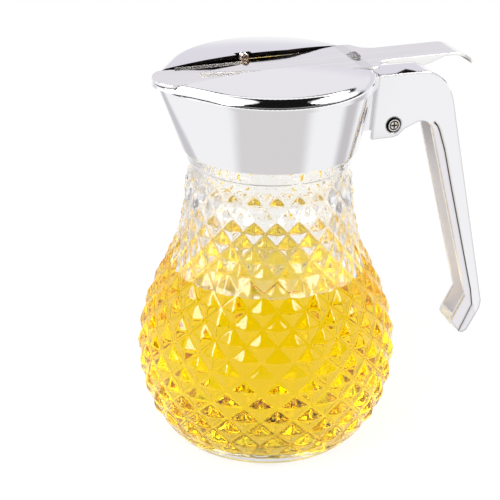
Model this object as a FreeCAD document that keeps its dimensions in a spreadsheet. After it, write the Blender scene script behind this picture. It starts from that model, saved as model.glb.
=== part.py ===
import FreeCAD, Part
import math
import os

import Sketcher
from FreeCAD import Placement, Rotation, Vector

# Honey dispenser: a diamond-cut glass jar under a cast pouring head with a thumb lever.
# Millimetres. Z is up, the jar's axis is the Z axis, the jar stands on z = 0,
# the pouring nose points along -X and the handle is at +X.

DIMENSIONS = {
    # glass jar
    "belly_radius": 42.7,
    "diamond_columns": 24.0,
    "diamond_rows": 19.0,
    "diamond_rise": 1.05,
    "pattern_bottom_z": 6.6,
    "row_spacing": 5.35,
    "row_closing": 0.00118,
    "pattern_turn": -0.8,
    "glass_wall": 2.9,
    "jar_floor": 5.5,
    "mouth_radius": 22.4,
    "finish_radius": 25.7,
    "bead_radius": 27.3,
    "jar_top_z": 114.0,
    # head casting
    "head_bottom_z": 103.8,
    "head_bottom_radius": 29.2,
    "seam_z": 125.6,
    "seam_nose_z": 127.0,
    "seam_level_x": 19.0,
    "seam_nose_x": 39.0,
    "brim_radius": 34.0,
    "brim_nose_centre": 28.6,
    "brim_nose_radius": 9.5,
    "head_wall": 1.6,
    "web_bottom_z": 115.4,
    "web_thickness": 1.6,
    "web_hole_radius": 21.0,
    "collar_inner_radius": 26.3,
    "collar_outer_radius": 27.6,
    "collar_length": 9.0,
    "gasket_thickness": 1.2,
    # outline of the top, a circle drawn out to a nose and to a tail
    "top_radius": 34.6,
    "nose_radius": 10.3,
    "nose_centre": 29.9,
    "tail_radius": 8.0,
    "tail_centre": 28.0,
    # top cover
    "dome_top_z": 132.0,
    "dome_radius": 227.0,
    "cover_wall": 1.2,
    "shoulder_radius": 3.6,
    "slot_half_width": 8.8,
    "slot_rear_half_width": 13.6,
    "slot_flare_start": 9.0,
    "slot_flare_end": 29.0,
    "sill_height": 2.55,
    # pouring blade and thumb lever
    "blade_half_width": 7.9,
    "sheet": 0.85,
    "blade_bottom_z": 128.45,
    "blade_rear": 22.0,
    "lever_apex": 24.0,
    "lever_wide": 12.6,
    "lever_wide_x": 29.0,
    "pad_half_width": 6.5,
    "pad_bend_x": 61.0,
    "pad_end_radius": 12.0,
    "pad_end_angle": 52.0,
    "skirt_depth": 3.3,
    # pivot and spring
    "pivot_x": 6.1,
    "pivot_z": 127.2,
    "pin_radius": 1.0,
    "pin_half_length": 13.7,
    "running_gap": 0.05,
    "spring_wire": 0.5,
    "spring_mean_radius": 1.15,
    "spring_turns": 3.0,
    "spring_pitch": 0.95,
    "spring_y": 7.55,
    "spring_z": 129.58,
    "spring_front_arm": 24.0,
    "spring_rear_arm": 20.0,
    "post_radius": 0.5,
    "washer_radius": 1.15,
    "washer_thickness": 0.5,
    "clip_radius": 1.9,
    "clip_thickness": 0.5,
    "rivet_radius": 1.1,
    # handle
    "handle_half_width": 5.0,
    "handle_wall": 1.4,
    "handle_top_z": 124.4,
    "grip_foot_z": 25.0,
    "screw_x": 42.0,
    "screw_z": 106.6,
    "recess_radius": 2.7,
    "recess_depth": 0.7,
    "screw_shank": 1.4,
    "grip_line_width": 0.6,
    "grip_line_depth": 0.4,
}

doc = FreeCAD.newDocument("honey_dispenser")
sheet = doc.addObject("Spreadsheet::Sheet", "Dims")
for row, (name, number) in enumerate(DIMENSIONS.items(), start=1):
    sheet.set("A%d" % row, name)
    sheet.set("B%d" % row, str(number))
    sheet.setAlias("B%d" % row, name)
doc.recompute()


def dim(name):
    """One driving dimension, read back from the sheet."""
    return float(sheet.get(name))


def bind(obj, **expressions):
    """Tie properties of an object to cells of the sheet."""
    for prop, text in expressions.items():
        obj.setExpression(prop, text)


def new_body(label):
    """An empty PartDesign body that will become the node of that name."""
    body = doc.addObject("PartDesign::Body", label)
    body.Label = label
    return body


def new_sketch(body, role, name, offset=(0, 0, 0)):
    """A sketch on one of the body's own origin planes, moved by offset in its frame."""
    sketch = body.newObject("Sketcher::SketchObject", name)
    plane = [f for f in body.Origin.OriginFeatures if f.Role == role][0]
    sketch.AttachmentSupport = (plane, "")
    sketch.MapMode = "FlatFace"
    sketch.AttachmentOffset = Placement(Vector(*offset), Rotation())
    return sketch


def draw_polygon(sketch, points):
    """Closed outline of straight lines."""
    corners = [Vector(x, y, 0) for x, y in points]
    for here, there in zip(corners, corners[1:] + corners[:1]):
        sketch.addGeometry(Part.LineSegment(here, there), False)


def draw_circle(sketch, x, y, radius_name, centre_names=None):
    """Circle whose radius, and centre if named, follow the sheet."""
    circle = Part.Circle(Vector(x, y, 0), Vector(0, 0, 1), dim(radius_name))
    index = sketch.addGeometry(circle, False)
    constraint = sketch.addConstraint(Sketcher.Constraint("Radius", index, dim(radius_name)))
    sketch.setExpression("Constraints[%d]" % constraint, "Dims." + radius_name)
    return index


def pad(body, sketch, name, length, midplane=False, reverse=False):
    """Extrude a sketch; length is an expression on the sheet."""
    feature = body.newObject("PartDesign::Pad", name)
    feature.Profile = sketch
    feature.setExpression("Length", length)
    feature.Midplane = midplane
    feature.Reversed = reverse
    doc.recompute()
    return feature


def pocket(body, sketch, name, length=None, midplane=False, reverse=False):
    """Cut a sketch out of the body, and stop if nothing was cut."""
    before = body.Shape.Volume
    feature = body.newObject("PartDesign::Pocket", name)
    feature.Profile = sketch
    feature.Midplane = midplane
    feature.Reversed = reverse
    if length is None:
        feature.Type = "ThroughAll"
    else:
        feature.setExpression("Length", length)
    doc.recompute()
    if body.Shape.Volume > before - 1e-3:
        raise RuntimeError(name + " cut nothing")
    return feature


def ring(label, inner, outer, low, height):
    """Plain ring between two radii, as a cut of two cylinders bound to the sheet."""
    solid = doc.addObject("Part::Cylinder", label + "_outer")
    bore = doc.addObject("Part::Cylinder", label + "_bore")
    bind(solid, Radius=outer, Height=height)
    bind(bore, Radius=inner, Height=height)
    cut = doc.addObject("Part::Cut", label)
    cut.Base = solid
    cut.Tool = bore
    cut.Label = label
    cut.setExpression("Placement.Base.z", low)
    return cut


def rod(label, radius, x, z, y_low, y_high):
    """Straight pin along Y from y_low to y_high; all arguments are expressions."""
    pin = doc.addObject("Part::Cylinder", label)
    pin.Label = label
    bind(pin, Radius=radius, Height="(%s) - (%s)" % (y_high, y_low))
    pin.Placement = Placement(Vector(), Rotation(Vector(1, 0, 0), -90))
    bind(pin, **{"Placement.Base.x": x, "Placement.Base.y": y_low, "Placement.Base.z": z})
    return pin


# Outline of the top
def tangent_angle(main_radius, end_radius, centre):
    """Angle from the X axis at which the main circle and an end circle share a tangent."""
    return math.acos((main_radius - end_radius) / centre)


def drawn_out(main, nose, nose_centre, tail):
    """Edges of a circle drawn out to a nose and a tail: arcs of three circles and four tangents."""
    nose_x = -nose_centre
    tail_x = dim("tail_centre")
    nose_turn = math.pi - tangent_angle(main, nose, nose_centre)
    tail_turn = tangent_angle(main, tail, tail_x)

    def on(centre, radius, angle):
        return Vector(centre + radius * math.cos(angle), radius * math.sin(angle), 0)

    middle = (nose_turn + tail_turn) / 2
    edges = [Part.Arc(on(tail_x, tail, -tail_turn), on(tail_x, tail, 0), on(tail_x, tail, tail_turn))]
    edges.append(Part.LineSegment(on(tail_x, tail, tail_turn), on(0, main, tail_turn)))
    edges.append(Part.Arc(on(0, main, tail_turn), on(0, main, middle), on(0, main, nose_turn)))
    edges.append(Part.LineSegment(on(0, main, nose_turn), on(nose_x, nose, nose_turn)))
    edges.append(Part.Arc(on(nose_x, nose, nose_turn), on(nose_x, nose, math.pi),
                          on(nose_x, nose, -nose_turn)))
    edges.append(Part.LineSegment(on(nose_x, nose, -nose_turn), on(0, main, -nose_turn)))
    edges.append(Part.Arc(on(0, main, -nose_turn), on(0, main, -middle), on(0, main, -tail_turn)))
    edges.append(Part.LineSegment(on(0, main, -tail_turn), on(tail_x, tail, -tail_turn)))
    return edges


def top_outline(inset):
    """Outline of the cover, moved in by inset."""
    return drawn_out(dim("top_radius") - inset, dim("nose_radius") - inset, dim("nose_centre"),
                     dim("tail_radius") - inset)


def brim_outline(inset):
    """Outline of the casting where it meets the cover: smaller, most of all at the nose."""
    step = dim("top_radius") - dim("brim_radius")
    return drawn_out(dim("brim_radius") - inset, dim("brim_nose_radius") - inset,
                     dim("brim_nose_centre"), dim("tail_radius") - step - inset)


def round_outline(radius):
    """A circle in eight arcs that face the eight edges of the drawn-out outlines."""
    nose_turn = math.pi - tangent_angle(dim("top_radius"), dim("nose_radius"), dim("nose_centre"))
    tail_turn = tangent_angle(dim("top_radius"), dim("tail_radius"), dim("tail_centre"))
    half_nose = (math.pi - nose_turn) * 0.5
    stops = [-tail_turn * 0.5, tail_turn * 0.5, tail_turn, nose_turn, math.pi - half_nose,
             math.pi + half_nose, 2 * math.pi - nose_turn, 2 * math.pi - tail_turn,
             2 * math.pi - tail_turn * 0.5]

    def on(angle):
        return Vector(radius * math.cos(angle), radius * math.sin(angle), 0)

    return [Part.Arc(on(a), on((a + b) / 2), on(b)) for a, b in zip(stops, stops[1:])]


def draw(sketch, edges):
    """Put ready-made edges into a sketch."""
    for edge in edges:
        sketch.addGeometry(edge, False)


# Glass jar
def jar_radius(z):
    """Outer radius of the jar under the diamonds' points: neck, shoulder, belly and heel.

    The shape is a smooth curve through a few measured stations, from heel to neck.
    """
    stations = [(0.0, 30.4), (3.0, 33.3), (8.0, 36.9), (14.0, 39.5), (21.0, 41.6), (30.0, 42.7),
                (37.0, 42.4), (45.0, 40.8), (52.0, 38.4), (59.0, 35.4), (66.0, 32.0), (73.0, 29.6),
                (82.0, 27.9), (97.0, 26.6)]
    scale = dim("belly_radius") / 42.7
    for (z0, r0), (z1, r1) in zip(stations, stations[1:]):
        if z <= z1:
            break
    index = stations.index((z0, r0))
    before = stations[max(index - 1, 0)]
    after = stations[min(index + 2, len(stations) - 1)]
    slope0 = (r1 - before[1]) / (z1 - before[0])
    slope1 = (after[1] - r0) / (after[0] - z0)
    span = z1 - z0
    t = (z - z0) / span
    h0 = (1 + 2 * t) * (1 - t) ** 2
    h1 = t * (1 - t) ** 2
    h2 = t * t * (3 - 2 * t)
    h3 = t * t * (t - 1)
    return scale * (h0 * r0 + h1 * span * slope0 + h2 * r1 + h3 * span * slope1)


def diamond_rows():
    """Heights of the rows of valley points; they close up a little towards the neck."""
    count = int(dim("diamond_rows"))
    start = dim("pattern_bottom_z")
    return [start + dim("row_spacing") * i - dim("row_closing") * i ** 3 for i in range(count)]


def triangle(a, b, c):
    """Flat face on three points."""
    return Part.Face(Part.makePolygon([a, b, c, a]))


def diamond_shell():
    """Faces of the cut pattern, four to a diamond, and the polygons at its two ends."""
    rows = diamond_rows()
    columns = int(dim("diamond_columns"))
    pitch = 2 * math.pi / columns

    def node(i, j):
        angle = (j + 0.5 * (i % 2)) * pitch + math.radians(dim("pattern_turn"))
        radius = jar_radius(rows[i])
        return Vector(radius * math.cos(angle), radius * math.sin(angle), rows[i])

    def point(i, j):
        """Raised point of the diamond between nodes j and j + 1 of row i."""
        angle = (j + 0.5 + 0.5 * (i % 2)) * pitch + math.radians(dim("pattern_turn"))
        scale = jar_radius(rows[i]) / dim("belly_radius")
        rise = dim("diamond_rise") * (0.55 + 0.45 * scale)
        radius = jar_radius(rows[i]) + rise
        return Vector(radius * math.cos(angle), radius * math.sin(angle), rows[i])

    faces = []
    last = len(rows) - 1
    for i in range(last + 1):
        for j in range(columns):
            left = node(i, j)
            right = node(i, j + 1)
            shift = i % 2
            if i == 0:
                faces.append(triangle(left, right, node(1, j + shift)))
            elif i == last:
                faces.append(triangle(left, node(last - 1, j + shift), right))
            else:
                top = node(i + 1, j + shift)
                low = node(i - 1, j + shift)
                tip = point(i, j)
                for a, b in ((left, low), (low, right), (right, top), (top, left)):
                    faces.append(triangle(a, b, tip))
    ends = []
    for i in (0, last):
        ends.append([node(i, j) for j in range(columns)])
    return faces, ends, rows


def jar_smooth_parts(rows):
    """Turned parts of the glass: foot and heel under the diamonds, neck and finish above."""
    columns = dim("diamond_columns")
    inner = math.cos(math.pi / columns)
    low = rows[0]
    high = rows[-1]
    heel = jar_radius(low)
    neck = jar_radius(high)
    foot = Part.makeCone(jar_radius(0.0) - 1.2, jar_radius(0.0), 1.2)
    heel_wire = [Vector(0, 0, 1.2), Vector(jar_radius(0.0), 0, 1.2)]
    heel_wire += [Vector(jar_radius(z), 0, z) for z in (2.2, 3.6, 5.2)]
    heel_wire += [Vector(heel * inner, 0, low), Vector(0, 0, low)]
    neck_wire = [Vector(0, 0, high), Vector(neck * inner, 0, high)]
    neck_wire += [Vector(neck * inner, 0, 98.6), Vector(dim("bead_radius"), 0, 99.6)]
    neck_wire += [Vector(dim("bead_radius"), 0, 102.0), Vector(dim("bead_radius") - 0.9, 0, 102.9)]
    neck_wire += [Vector(dim("finish_radius"), 0, 103.2), Vector(dim("finish_radius"), 0, dim("jar_top_z"))]
    neck_wire += [Vector(0, 0, dim("jar_top_z"))]

    def turned(points):
        face = Part.Face(Part.makePolygon(points + points[:1]))
        return face.revolve(Vector(), Vector(0, 0, 1), 360)

    return foot, turned(heel_wire), turned(neck_wire)


def jar_cavity():
    """Space inside the jar: the outer curve moved in by the wall, open at the mouth."""
    floor = dim("jar_floor")
    wall = dim("glass_wall")
    shoulder = []
    for z in (14, 21, 30, 37, 45, 52, 59, 66, 73, 82, 92):
        shoulder.append(Vector(min(jar_radius(z) - wall, 40.2), 0, z))
    shoulder[-1].x = dim("mouth_radius")
    heel_start = Vector(jar_radius(5) - wall - 5.5, 0, floor)
    curve = Part.BSplineCurve()
    curve.interpolate([heel_start, Vector(jar_radius(8) - wall - 1.0, 0, 8.6)] + shoulder)
    mouth = dim("mouth_radius")
    top = dim("jar_top_z") + 5
    edges = [Part.LineSegment(Vector(0, 0, floor), heel_start).toShape(), curve.toShape()]
    edges.append(Part.LineSegment(shoulder[-1], Vector(mouth, 0, top)).toShape())
    edges.append(Part.LineSegment(Vector(mouth, 0, top), Vector(0, 0, top)).toShape())
    edges.append(Part.LineSegment(Vector(0, 0, top), Vector(0, 0, floor)).toShape())
    return Part.Face(Part.Wire(edges)).revolve(Vector(), Vector(0, 0, 1), 360)


def make_glass_jar():
    """Pressed glass jar: diamonds all round, smooth heel, neck, bead and finish, hollow inside."""
    faces, ends, rows = diamond_shell()
    for loop in ends:
        faces.append(Part.Face(Part.makePolygon(loop + loop[:1])))
    cut_band = Part.Solid(Part.Shell(faces))
    if cut_band.Volume < 0:
        cut_band.reverse()
    foot, heel, neck = jar_smooth_parts(rows)
    outside = cut_band.fuse([foot, heel, neck])
    jar = doc.addObject("Part::Feature", "glass_jar")
    jar.Shape = outside.cut(jar_cavity())
    jar.Label = "glass_jar"
    print("diamond rows", len(rows), [round(z, 1) for z in rows])
    return jar


# Head
def loft(label, sketches):
    """Ruled solid between closed sketches."""
    solid = doc.addObject("Part::Loft", label)
    solid.Sections = sketches
    solid.Solid = True
    solid.Ruled = True
    return solid


def free_sketch(name, edges, height):
    """Sketch of ready-made edges lying at a height that is an expression on the sheet."""
    sketch = doc.addObject("Sketcher::SketchObject", name)
    draw(sketch, edges)
    sketch.setExpression("Placement.Base.z", height)
    return sketch


def seam_block(label, far_z):
    """Block across the whole top on one side of the seam: above it or below it, out to far_z."""
    level = dim("seam_level_x")
    nose = dim("seam_nose_x")
    outline = [(-60, dim("seam_nose_z")), (-nose, dim("seam_nose_z")), (-level, dim("seam_z")),
               (60, dim("seam_z")), (60, far_z), (-60, far_z)]
    corners = [Vector(x, -60, z) for x, z in outline]
    side = doc.addObject("Part::Feature", label + "_side")
    side.Shape = Part.Face(Part.makePolygon(corners + corners[:1]))
    block = doc.addObject("Part::Extrusion", label)
    block.Base = side
    block.DirMode = "Custom"
    block.Dir = Vector(0, 1, 0)
    block.LengthFwd = 120
    block.Solid = True
    return block


def make_head():
    """Cast head: a cone drawn out to a nose and a tail, with a web over the jar's mouth and a lug."""
    wall = dim("head_wall")
    web_top = dim("web_bottom_z") + dim("web_thickness")
    rise = (web_top - dim("head_bottom_z")) / (dim("seam_nose_z") - dim("head_bottom_z"))
    spread = dim("brim_radius") - dim("head_bottom_radius")
    chamber_radius = dim("head_bottom_radius") + rise * spread - wall - 1.2
    low = free_sketch("head_low", round_outline(dim("head_bottom_radius")), "Dims.head_bottom_z")
    high = free_sketch("head_high", brim_outline(0), "Dims.seam_nose_z")
    cone = loft("head_cone", [low, high])
    chamber_low = free_sketch("chamber_low", round_outline(chamber_radius),
                              "Dims.web_bottom_z + Dims.web_thickness")
    chamber_high = free_sketch("chamber_high", brim_outline(wall), "Dims.seam_nose_z")
    chamber = loft("head_chamber", [chamber_low, chamber_high])
    socket = doc.addObject("Part::Cylinder", "head_socket")
    bind(socket, Radius="Dims.collar_outer_radius + 0.02", Height="Dims.web_bottom_z - Dims.head_bottom_z")
    socket.setExpression("Placement.Base.z", "Dims.head_bottom_z")
    throat = doc.addObject("Part::Cylinder", "head_throat")
    bind(throat, Radius="Dims.web_hole_radius", Height="Dims.web_thickness + 0.2")
    throat.setExpression("Placement.Base.z", "Dims.web_bottom_z - 0.1")
    lug = doc.addObject("Part::Extrusion", "head_lug")
    lug_face = doc.addObject("Part::Feature", "head_lug_face")
    y = dim("handle_wall") - dim("handle_half_width")
    outline = [(28.4, 105.2), (44.6, 105.2), (46.4, 107.6), (46.4, 116.5), (43.5, 121.4), (34.0, 121.4)]
    corners = [Vector(x, y, z) for x, z in outline]
    lug_face.Shape = Part.Face(Part.makePolygon(corners + corners[:1]))
    lug.Base = lug_face
    lug.Dir = Vector(0, 1, 0)
    lug.DirMode = "Custom"
    lug.setExpression("LengthFwd", "2 * (Dims.handle_half_width - Dims.handle_wall)")
    lug.Solid = True
    hole = rod("lug_hole", "Dims.screw_shank + 0.05", "Dims.screw_x", "Dims.screw_z", "-5", "5")
    notch = doc.addObject("Part::Box", "tail_notch")
    bind(notch, Length="20", Width="19", Height="2")
    bind(notch, **{"Placement.Base.x": "29.5", "Placement.Base.y": "-9.5",
                   "Placement.Base.z": "Dims.seam_z - 1.2"})
    # the casting ends at the seam, which climbs towards the nose
    above = seam_block("head_above_seam", 140)
    outside = doc.addObject("Part::MultiFuse", "head_outside")
    outside.Shapes = [cone, lug]
    inside = doc.addObject("Part::MultiFuse", "head_inside")
    inside.Shapes = [chamber, socket, throat, hole, notch, above]
    head = doc.addObject("Part::Cut", "head_shell")
    head.Base = outside
    head.Tool = inside
    head.Label = "head_shell"
    return head


def dome(label, inset, shrink):
    """The outline moved in by inset, raised from the seam to a shallow dome, with a rounded shoulder."""
    outline = free_sketch(label + "_outline", top_outline(inset), "Dims.seam_z")
    column = doc.addObject("Part::Extrusion", label + "_column")
    column.Base = outline
    column.DirMode = "Custom"
    column.Dir = Vector(0, 0, 1)
    column.LengthFwd = 10
    column.Solid = True
    ball = doc.addObject("Part::Sphere", label + "_ball")
    bind(ball, Radius="Dims.dome_radius - %s" % shrink)
    bind(ball, **{"Placement.Base.z": "Dims.dome_top_z - Dims.dome_radius"})
    raised = doc.addObject("Part::Common", label + "_raised")
    raised.Base = column
    raised.Tool = ball
    doc.recompute()
    rounded = doc.addObject("Part::Fillet", label)
    rounded.Base = raised
    radius = dim("shoulder_radius") - (dim("cover_wall") if inset else 0)
    top = dim("dome_top_z")
    edges = []
    for number, edge in enumerate(raised.Shape.Edges, start=1):
        box = edge.BoundBox
        if box.ZMin > dim("seam_z") + 1 and box.ZMax < top - 1.3:
            edges.append((number, radius, radius))
    rounded.Edges = edges
    doc.recompute()
    return rounded


def prism(label, corners, low, high):
    """Straight-sided block on a polygon of (x, y) corners, from height low to height high."""
    base = doc.addObject("Part::Feature", label + "_base")
    ring_points = [Vector(x, y, low) for x, y in corners]
    base.Shape = Part.Face(Part.makePolygon(ring_points + ring_points[:1]))
    block = doc.addObject("Part::Extrusion", label)
    block.Base = base
    block.DirMode = "Custom"
    block.Dir = Vector(0, 0, 1)
    block.LengthFwd = high - low
    block.Solid = True
    return block


def make_cover():
    """Top cover: a shallow pressed dome with a lengthwise opening for the blade and the lever."""
    outside = dome("cover_outside", 0, "0")
    inside = dome("cover_inside", dim("cover_wall"), "Dims.cover_wall")
    shell = doc.addObject("Part::Cut", "cover_shell")
    shell.Base = outside
    shell.Tool = inside
    # a lug under each wing carries the pivot pin; the far one also holds the spring's post
    x = -dim("pivot_x")
    lugs = []
    for side, low, high in (("far", 11.2, 12.7), ("near", -12.7, -11.2)):
        corners = [(x - 2.6, low), (x + 2.6, low), (x + 2.6, high), (x - 2.6, high)]
        lugs.append(prism("pivot_lug_" + side, corners, dim("seam_z") + 0.3, 130.9))
    whole = doc.addObject("Part::MultiFuse", "cover_whole")
    whole.Shapes = [shell] + lugs
    # opening for the blade in front and, wider, for the lever behind
    half = dim("slot_half_width")
    rear = dim("slot_rear_half_width")
    flare = dim("slot_flare_start")
    end = dim("slot_flare_end")
    front = prism("nose_slot", [(-60, -half), (flare, -half), (flare, half), (-60, half)],
                  dim("seam_z") + dim("sill_height"), 140)
    behind = prism("lever_slot", [(flare - 0.5, -half), (flare, -half), (end, -rear), (60, -rear),
                                  (60, rear), (end, rear), (flare, half), (flare - 0.5, half)], 120, 140)
    # notch in the far wing's edge where the spring's coil shows
    window = prism("spring_window", [(x - 2.7, half - 0.5), (x + 2.7, half - 0.5), (x + 2.7, 11.0),
                                     (x - 2.7, 11.0)], 128.9, 140)
    pivot_bore = rod("pivot_bore", "Dims.pin_radius + 0.03", "-Dims.pivot_x", "Dims.pivot_z", "-14", "14")
    post_bore = rod("post_bore", "Dims.post_radius + 0.02", "-Dims.pivot_x",
                    "Dims.spring_z + Dims.spring_mean_radius", "10", "12.8")
    below = seam_block("cover_below_seam", 110)
    openings = doc.addObject("Part::MultiFuse", "cover_openings")
    openings.Shapes = [front, behind, window, pivot_bore, post_bore, below]
    cover = doc.addObject("Part::Cut", "top_cover")
    cover.Base = whole
    cover.Tool = openings
    cover.Label = "top_cover"
    return cover


# Blade and lever
def make_blade():
    """Pouring blade: a flat strip that closes the nose, with two ears turned down to the pivot."""
    body = new_body("pour_blade")
    half = dim("blade_half_width")
    sheet_t = dim("sheet")
    low = dim("blade_bottom_z")
    nose_x = -dim("nose_centre")
    radius = dim("nose_radius") - 0.5
    turn = math.asin(half / radius)
    start = Vector(nose_x - radius * math.cos(turn), half, 0)
    finish = Vector(start.x, -half, 0)
    rear = dim("blade_rear")
    strip = new_sketch(body, "XY_Plane", "blade_strip", (0, 0, low))
    strip.addGeometry(Part.Arc(start, Vector(nose_x - radius, 0, 0), finish), False)
    strip.addGeometry(Part.LineSegment(finish, Vector(rear, -half, 0)), False)
    strip.addGeometry(Part.LineSegment(Vector(rear, -half, 0), Vector(rear, half, 0)), False)
    strip.addGeometry(Part.LineSegment(Vector(rear, half, 0), start), False)
    pad(body, strip, "blade_pad", "Dims.sheet")
    x = -dim("pivot_x")
    z = dim("pivot_z")
    for side, y in (("far", half), ("near", -half + sheet_t)):
        ear = new_sketch(body, "XZ_Plane", "ear_" + side, (0, 0, -y))
        top = low + 0.3
        ear.addGeometry(Part.LineSegment(Vector(x - 3.2, top, 0), Vector(x - 1.9, z, 0)), False)
        ear.addGeometry(Part.Arc(Vector(x - 1.9, z, 0), Vector(x, z - 1.9, 0), Vector(x + 1.9, z, 0)), False)
        ear.addGeometry(Part.LineSegment(Vector(x + 1.9, z, 0), Vector(x + 3.2, top, 0)), False)
        ear.addGeometry(Part.LineSegment(Vector(x + 3.2, top, 0), Vector(x - 3.2, top, 0)), False)
        pad(body, ear, "ear_pad_" + side, "Dims.sheet")
    bore = new_sketch(body, "XZ_Plane", "ear_bore")
    index = bore.addGeometry(Part.Circle(Vector(x, z, 0), Vector(0, 0, 1), 1.05), False)
    limit = bore.addConstraint(Sketcher.Constraint("Radius", index, 1.05))
    bore.setExpression("Constraints[%d]" % limit, "Dims.pin_radius + Dims.running_gap")
    pocket(body, bore, "ear_bore_pocket", "30", midplane=True)
    return body


def make_lever():
    """Thumb lever: a pressed sheet, pointed in front, with a skirted pad whose end curls down."""
    body = new_body("thumb_lever")
    t = dim("sheet")
    low = dim("blade_bottom_z") + t
    top = low + t
    bend = dim("pad_bend_x")
    radius = dim("pad_end_radius")
    sweep = math.radians(dim("pad_end_angle"))

    def curl(r, angle):
        return Vector(bend + r * math.sin(angle), top - radius + r * math.cos(angle), 0)

    apex = -dim("lever_apex")
    side = new_sketch(body, "XZ_Plane", "lever_side")
    side.addGeometry(Part.LineSegment(Vector(apex, low, 0), Vector(apex, top, 0)), False)
    side.addGeometry(Part.LineSegment(Vector(apex, top, 0), curl(radius, 0)), False)
    side.addGeometry(Part.Arc(curl(radius, 0), curl(radius, sweep / 2), curl(radius, sweep)), False)
    side.addGeometry(Part.LineSegment(curl(radius, sweep), curl(radius - t, sweep)), False)
    side.addGeometry(Part.Arc(curl(radius - t, sweep), curl(radius - t, sweep / 2), curl(radius - t, 0)), False)
    side.addGeometry(Part.LineSegment(curl(radius - t, 0), Vector(apex, low, 0)), False)
    pad(body, side, "lever_pad", "2 * Dims.lever_wide + 2", midplane=True)
    # plan of the lever, cut from the bent sheet
    wide = dim("lever_wide")
    wide_x = dim("lever_wide_x")
    half = dim("pad_half_width")
    tip_x = curl(radius, sweep).x
    plan = [(apex, 0), (wide_x, wide), (wide_x + 3.0, wide - 0.2), (wide_x + 6.2, half + 1.2),
            (wide_x + 9.5, half), (tip_x - 4.5, half), (tip_x - 1.4, half - 1.3), (tip_x + 1, half - 3.6)]
    outline = plan + [(x, -y) for x, y in reversed(plan[1:])]
    trim = new_sketch(body, "XY_Plane", "lever_plan", (0, 0, top + 5))
    draw_polygon(trim, [(apex - 5, -20), (tip_x + 5, -20), (tip_x + 5, 20), (apex - 5, 20)])
    draw_polygon(trim, outline)
    pocket(body, trim, "lever_trim")
    # skirts along the pad, deepest in the middle
    depth = dim("skirt_depth")
    skirt = [(36.5, low + 0.3), (38.0, low - 0.6), (46.5, low - 0.8), (51.0, low - depth + t),
             (54.0, low - depth + 1.6), (59.5, low + 0.3)]
    for name, y in (("far", half), ("near", -half + t)):
        edge = new_sketch(body, "XZ_Plane", "skirt_" + name, (0, 0, -y))
        draw_polygon(edge, skirt)
        pad(body, edge, "skirt_pad_" + name, "Dims.sheet")
    # small stop pressed up in the middle behind the opening
    stop = new_sketch(body, "XZ_Plane", "lever_stop")
    draw_polygon(stop, [(26.8, top - 0.3), (26.8, top), (29.0, top + 0.9), (30.2, top + 0.9), (30.4, top - 0.3)])
    pad(body, stop, "lever_stop_pad", "4.4", midplane=True)
    return body


# Pivot and spring
def biarc(start, start_way, end, end_way):
    """Two arcs that meet smoothly and keep both end directions."""
    gap = end - start
    both = start_way + end_way
    a = 2 * (1 - start_way.dot(end_way))
    b = 2 * gap.dot(both)
    c = -gap.dot(gap)
    if abs(a) < 1e-9:
        reach = -c / b
    else:
        reach = (-b + math.sqrt(b * b - 4 * a * c)) / (2 * a)
    joint = (start + end + (start_way - end_way) * reach) * 0.5
    edges = []
    for point, way, far in ((start, start_way, joint), (end, end_way * -1, joint)):
        chord = far - point
        across = chord - way * chord.dot(way)
        across.normalize()
        radius = chord.dot(chord) / (2 * chord.dot(across))
        centre = point + across * radius
        middle = (point + far) * 0.5 - centre
        middle.normalize()
        edges.append(Part.Arc(point, centre + middle * radius, far).toShape())
    first, second = edges
    return [first, Part.Arc(joint, second.valueAt((second.FirstParameter + second.LastParameter) / 2),
                            end).toShape()]


def make_spring():
    """Return spring: a straight front arm, a coil on the post and a straight rear arm."""
    wire = dim("spring_wire")
    mean = dim("spring_mean_radius")
    pitch = dim("spring_pitch")
    turns = dim("spring_turns")
    x = -dim("pivot_x")
    y = dim("spring_y")
    z = dim("spring_z") + mean

    def on(angle):
        """Point of the coil, from its lowest place, turning up at the front."""
        return Vector(x + mean * math.sin(angle), y + pitch * angle / (2 * math.pi),
                      z - mean * math.cos(angle))

    def way(angle):
        vector = Vector(mean * math.cos(angle), pitch / (2 * math.pi), mean * math.sin(angle))
        vector.normalize()
        return vector

    quarters = int(round(turns * 4))
    stops = [i * math.pi / 2 for i in range(quarters + 1)]
    ways = [way(a) for a in stops]
    ways[0] = Vector(1, 0, 0)
    ways[-1] = Vector(1, 0, 0)
    first = on(stops[0])
    last = on(stops[-1])
    front_end = first - Vector(dim("spring_front_arm"), 0, 0)
    edges = [Part.LineSegment(front_end, first).toShape()]
    for a, b, way_a, way_b in zip(stops, stops[1:], ways, ways[1:]):
        edges += biarc(on(a), way_a, on(b), way_b)
    edges.append(Part.LineSegment(last, last + Vector(dim("spring_rear_arm"), 0, 0)).toShape())
    path = Part.Wire(edges)
    section = Part.Wire(Part.makeCircle(wire / 2, front_end, Vector(1, 0, 0)))
    spring = doc.addObject("Part::Feature", "return_spring")
    spring.Shape = path.makePipeShell([section], True, False)
    spring.Label = "return_spring"
    expected = math.pi * wire * wire / 4 * path.Length
    samples = [on(i * turns * 2 * math.pi / 160) for i in range(161)]
    apart = [p.distanceToPoint(q) for i, p in enumerate(samples) for q in samples[i + 40:]]
    print("spring volume", round(spring.Shape.Volume, 3), "expected", round(expected, 3),
          "least self gap", round(min(apart) - wire, 2))
    return spring


# Handle
HANDLE_BACK = [(51.5, 124.2), (56.3, 123.0), (60.0, 120.3), (62.4, 116.6), (63.9, 112.0), (65.1, 106.0)]


# line sunk into each side of the grip, from the arch down to the end of the foot
GRIP_LINE = [(57.0, 106.0), (58.3, 104.5), (59.2, 102.6), (61.6, 95.2), (64.9, 81.6), (75.2, 41.0),
             (76.0, 35.4), (72.6, 28.2), (70.6, 24.0)]


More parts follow.
